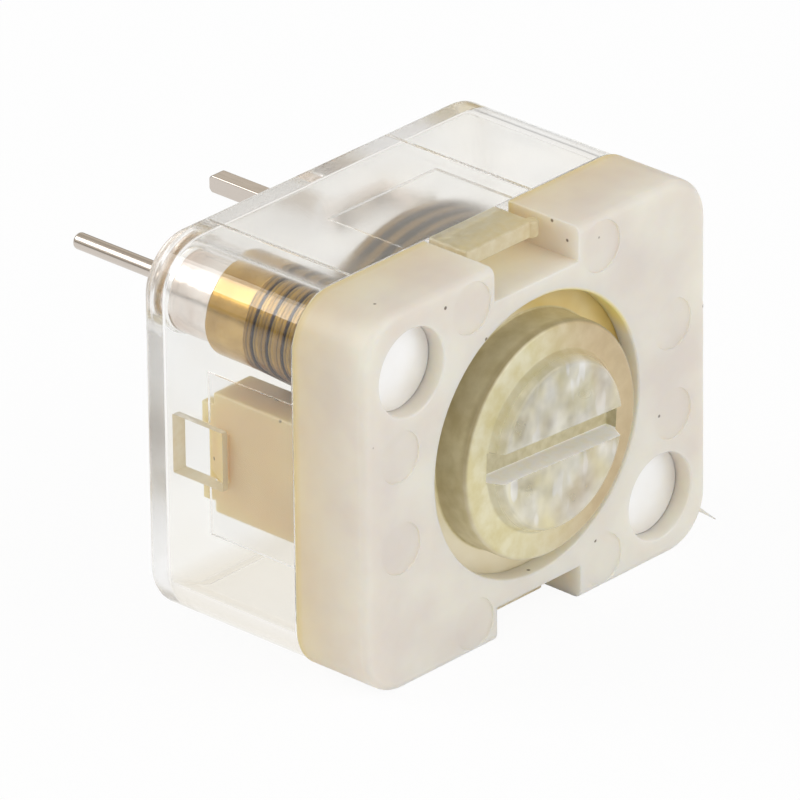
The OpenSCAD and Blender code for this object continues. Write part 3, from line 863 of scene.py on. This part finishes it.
def knobSkin(centre, normal):
    # 1 on the slot's lower wall, which faces up: scuffed milky by the driver and painted white as lit; 2 on
    # its floor
    # and upper wall: smeared and a darker tan, painted shade on the upper wall, which faces down; else 0
    look = knobLook
    unturn = Matrix.Rotation(-math.radians(look["slotAngle"]), 3, "Y")
    place = unturn @ (centre - Vector((0, 0, midZ)))
    depth = place.y - knobLow.y
    inSlot = (abs(place.x) < look["bossBack"] and abs(place.z) <= look["slotWidth"] / 2 + hair
              and 2 * hair < depth < look["slotDepth"] + 2 * hair)
    if not inSlot:
        return 0
    return 1 if normal.z > 0.5 else 2


finishPiece(clearKnob(knobLook), "rotor", ["rotor_knob"], sulfone,
            skin=knobSkin, others=(scuffedAndLitSulfone, smearedAndShadedSulfone))
print("knob ready")

# Turned metal: posts, collars and terminals, between the depths that the CAD model gives

postLook = {"headRadius": 1.355, "headEdge": 0.02, "headBackEdge": 0.03, "rodRadius": 0.6, "rodEdge": 0.05,
            "collarBore": 0.62, "boreEdge": 0.03, "collarEdge": 0.05, "collarBackEdge": 0.09,
            "gripEdge": 0.02, "gripDepth": 0.82, "ferruleFrontEdge": 0.05, "ferruleEnd": 5.68,
            "ferruleEdge": 0.1, "pinRadius": 0.25, "pinRoot": 0.04, "pinEdge": 0.1}


def turnedMetal(look):
    shoulder = nodeBox("stator_plate_1")[0].y
    for side, (x, z) in zip(("left", "right"), postPlaces):
        (low, high), rod = nodeBox(side + "_post"), look["rodRadius"]
        post = turned(side + "Post", [
            (0, low.y, 0), (look["headRadius"], low.y, look["headEdge"]),
            (look["headRadius"], shoulder, look["headBackEdge"]), (rod, shoulder, 0),
            (rod, high.y, look["rodEdge"]), (0, high.y, 0)], x, z)
        finishPiece(post, "case", [side + "_post"], silverPlate)
        low, high = nodeBox(side + "_collar")
        r, b, collarBack = (high.x - low.x) / 2, look["collarBore"], high.y
        collar = turned(side + "Collar", [
            (b, low.y, look["boreEdge"]), (r, low.y, look["collarEdge"]),
            (r, collarBack, look["collarBackEdge"]), (b, collarBack, look["boreEdge"])], x, z, ring=True)
        finishPiece(collar, "case", [side + "_collar"], turnedBrass)
        low, high = nodeBox(side + "_terminal")
        r, p = (high.x - low.x) / 2, look["pinRadius"]
        gripEnd, ferruleEnd = low.y + look["gripDepth"], look["ferruleEnd"]
        pin = turned(side + "Terminal", [
            (0, gripEnd, 0), (b, gripEnd, 0), (b, low.y, look["gripEdge"]),
            (r, low.y, look["ferruleFrontEdge"]), (r, ferruleEnd, look["ferruleEdge"]),
            (p, ferruleEnd, look["pinRoot"]), (p, high.y, look["pinEdge"]), (0, high.y, 0)], x, z)
        finishPiece(pin, "case", [side + "_terminal"], tinPlate)


turnedMetal(postLook)

# The shaft, its collar and washer, the contact and the square terminal keep the CAD model's shape, and only
# their edges are rounded, by these widths

shaftLook = {"rotorShaft": 0.03, "rotorCollar": 0.05, "springWasher": 0.02, "rotorContact": 0.04,
             "rotorTerminal": 0.05}


def shaftMetal(look):
    for name, node, segments, body, slot, material in (
            ("rotorShaft", "rotor_shaft", 2, "rotor", "brass", turnedBrass),
            ("rotorCollar", "rotor_collar", 2, "rotor", "brass", turnedBrass),
            ("springWasher", "spring_washer", 2, "rotor", "spring_bronze", silveredBronze),
            ("rotorContact", "rotor_contact", 2, "case", "spring_bronze", silveredBronze),
            ("rotorTerminal", "rotor_terminal", 3, "case", "tinned", tinPlate)):
        finishPiece(bevelled(fromNode(name, node), look[name], segments), body, [node], material)


shaftMetal(shaftLook)
print("metal parts ready")

# Plate stacks: the first of each kind is rounded at its edges and then repeated along the axis

stackLook = {"statorPlates": 0.07, "rotorPlates": 0.02, "rotorSpacers": 0.05, "postSpacers": 0.08,
             "dielectricFilms": 0.0}


def joined(name, things):
    bm = bmesh.new()
    for thing in things:
        bm.from_mesh(thing.data)
        bpy.data.objects.remove(thing)
    return fromBmesh(name, bm)


def plateStacks(look):
    pitch = nodeBox("stator_plate_2")[0].y - nodeBox("stator_plate_1")[0].y
    for name, sources, prefixes, body, slot, material in (
            ("statorPlates", ["stator_plate_1"], ["stator_plate_"], "case", "plate_brass", stampedBrass),
            ("rotorPlates", ["rotor_plate_1"], ["rotor_plate_"], "rotor", "plate_brass", stampedBrass),
            ("rotorSpacers", ["rotor_spacer_1"], ["rotor_spacer_"], "rotor", "brass", tarnishedBrass),
            ("postSpacers", ["left_spacer_1", "right_spacer_1"], ["left_spacer_", "right_spacer_"],
             "case", "brass", tarnishedBrass),
            ("dielectricFilms", ["dielectric_film_1", "dielectric_film_2"], ["dielectric_film_"],
             "case", "film", film)):
        nodes = sorted(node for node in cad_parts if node.startswith(tuple(prefixes)))
        parts = [fromNode("part", source) for source in sources]
        if look[name]:
            parts = [bevelled(part, look[name], 2) for part in parts]
        made = throughTree(joined(name, parts), stack,
                           {"Count": len(nodes) // len(sources), "Pitch": pitch, "Material": material})
        finishPiece(made, body, nodes, material)


plateStacks(stackLook)
print("plate stacks ready")

# Floor, light, world and camera

studioLook = {
    "floorSize": 1.2, "floorColour": "FFFFFF", "floorGlow": 0.93, "cardReach": (0.05, 0.14), "cardEdge": 0.45,
    # the even light on the object, and the sky that metal and clear plastic see, from the horizon up
    "fill": 0.55, "skyRight": "EAE6DF", "skyRightReach": 0.5, "skyThrough": 0.78,
    "sky": ((0.0, "8F8577"), (0.16, "C9C3BA"), (0.42, "FFFDFA"), (0.7, "C9C3BA"), (1.0, "DEDBD6")),
    # lamps: watts, place and size in metres
    "keyPower": 0.86, "keyPlace": (0.15, -0.42, 0.26), "keySize": 0.4,
    "backPower": 0.33, "backPlace": (-0.19, 0.2, 0.24), "backSize": 0.2,
    "leftPower": 0.055, "leftPlace": (-0.3, -0.1, 0.12), "leftSize": 0.24,
    # the camera, a long lens; the middle of its view is this far right of the origin and above it, in mm
    "lens": 540.0, "distance": 336.34, "azimuth": -47.255, "elevation": 27.095, "roll": -0.538,
    "aim": (-1.9432, 5.3643), "bounces": 24}


def makeFloor(look):
    bm = bmesh.new()
    bmesh.ops.create_grid(bm, x_segments=1, y_segments=1, size=look["floorSize"] / 2)
    mesh = bpy.data.meshes.new("floor")
    bm.to_mesh(mesh)
    bm.free()
    floor = makeObject("floor", mesh)
    material, tree, place = newMaterial("white studio card")
    # A card that takes the object's shadow, and glows white where it is seen, in metal and plastic as well
    light = addNode(tree, "ShaderNodeLightPath").outputs
    seen = light["Is Camera Ray"]
    for ray in ("Is Glossy Ray", "Is Transmission Ray"):
        seen = addNode(tree, "ShaderNodeMath", {"operation": "MAXIMUM"}, {0: seen, 1: light[ray]})
    share = addNode(tree, "ShaderNodeMath", {"operation": "MULTIPLY", 1: look["floorGlow"]}, {0: seen})
    card = addNode(tree, "ShaderNodeBsdfDiffuse", {"Color": srgb(look["floorColour"])})
    # Metal sees the card darken away from the object
    near, far = look["cardReach"]
    reach = addNode(tree, "ShaderNodeVectorMath", {"operation": "LENGTH"}, {0: place}).outputs["Value"]
    darker = addNode(tree, "ShaderNodeMapRange",
                     {"From Min": near, "From Max": far, "To Min": 1.0, "To Max": look["cardEdge"]},
                     {"Value": reach})
    mirrored = addNode(tree, "ShaderNodeMix", {2: 1.0}, {0: light["Is Glossy Ray"], 3: darker})
    glow = addNode(tree, "ShaderNodeEmission", {"Color": (1, 1, 1, 1)}, {"Strength": mirrored})
    mixed = addNode(tree, "ShaderNodeMixShader", {}, {0: share, 1: card, 2: glow})
    closeMaterial(tree, mixed)
    mesh.materials.append(material)


def makeWorld(look):
    # White behind the object; metal and clear plastic see a soft studio that darkens above the horizon
    world = bpy.data.worlds.new("studio")
    world.use_nodes = True
    tree = world.node_tree
    tree.nodes.clear()
    light = addNode(tree, "ShaderNodeLightPath").outputs
    direction = addNode(tree, "ShaderNodeTexCoord").outputs["Generated"]
    parts = addNode(tree, "ShaderNodeSeparateXYZ", {}, {"Vector": direction}).outputs
    sky = addNode(tree, "ShaderNodeValToRGB", {}, {"Fac": parts["Z"]})
    setStops(sky, look["sky"])
    toRight = addNode(tree, "ShaderNodeMapRange", {"From Max": look["skyRightReach"]}, {"Value": parts["X"]})
    sky = addNode(tree, "ShaderNodeMix",
                  {"data_type": "RGBA", "blend_type": "MULTIPLY", 7: srgb(look["skyRight"])},
                  {0: toRight, 6: sky})
    paler = addNode(tree, "ShaderNodeMath", {"operation": "MULTIPLY", 1: look["skyThrough"]},
                    {0: light["Is Transmission Ray"]})
    sky = addNode(tree, "ShaderNodeMix", {"data_type": "RGBA", 7: (1, 1, 1, 1)},
                  {0: paler, 6: sky.outputs[2]})
    plain = addNode(tree, "ShaderNodeBackground", {"Color": (1, 1, 1, 1), "Strength": look["fill"]})
    studioLight = addNode(tree, "ShaderNodeBackground", {"Strength": 1.0}, {"Color": sky.outputs[2]})
    white = addNode(tree, "ShaderNodeBackground", {"Color": (1, 1, 1, 1), "Strength": 1.0})
    mirrored = addNode(tree, "ShaderNodeMath", {"operation": "MAXIMUM"},
                       {0: light["Is Glossy Ray"], 1: light["Is Transmission Ray"]})
    shown = addNode(tree, "ShaderNodeMixShader", {}, {0: mirrored, 1: plain, 2: studioLight})
    shown = addNode(tree, "ShaderNodeMixShader", {}, {0: light["Is Camera Ray"], 1: shown, 2: white})
    addNode(tree, "ShaderNodeOutputWorld", {}, {"Surface": shown})
    bpy.context.scene.world = world


def makeLamp(name, look):
    lamp = bpy.data.lights.new(name, "AREA")
    lamp.energy, lamp.size = look[name + "Power"], look[name + "Size"]
    thing = makeObject(name, lamp)
    thing.location = look[name + "Place"]
    thing.rotation_euler = (Vector((0, 0, midZ * mm)) - thing.location).to_track_quat("-Z", "Y").to_euler()


def makeCamera(look):
    # A long lens; back, right and up are the camera's directions before it is rolled and aimed
    azimuth, elevation, roll = (math.radians(look[key]) for key in ("azimuth", "elevation", "roll"))
    back = Vector((math.sin(azimuth) * math.cos(elevation), -math.cos(azimuth) * math.cos(elevation),
                   math.sin(elevation)))
    right = Vector((math.cos(azimuth), math.sin(azimuth), 0))
    up = back.cross(right)
    rolledRight = right * math.cos(roll) + up * math.sin(roll)
    rolledUp = up * math.cos(roll) - right * math.sin(roll)
    across, above = look["aim"]
    forward = (rolledRight * across + rolledUp * above - back * look["distance"]).normalized()
    top = (rolledUp - forward * rolledUp.dot(forward)).normalized()
    camera = bpy.data.cameras.new("camera")
    camera.sensor_width, camera.lens = 36.0, look["lens"]
    camera.clip_start, camera.clip_end = 0.01, 10
    thing = makeObject("camera", camera)
    axes = Matrix((forward.cross(top), top, -forward)).transposed()
    thing.matrix_world = Matrix.Translation(back * look["distance"] * mm) @ axes.to_4x4()
    bpy.context.scene.camera = thing


makeFloor(studioLook)
makeWorld(studioLook)
for lampName in ("key", "back", "left"):
    makeLamp(lampName, studioLook)
makeCamera(studioLook)
cycles = bpy.context.scene.cycles
for limit in ("max_bounces", "transmission_bounces", "glossy_bounces", "transparent_max_bounces"):
    setattr(cycles, limit, studioLook["bounces"])  # light runs far inside clear plastic
bpy.context.scene.view_settings.view_transform = "Standard"
print("studio ready")
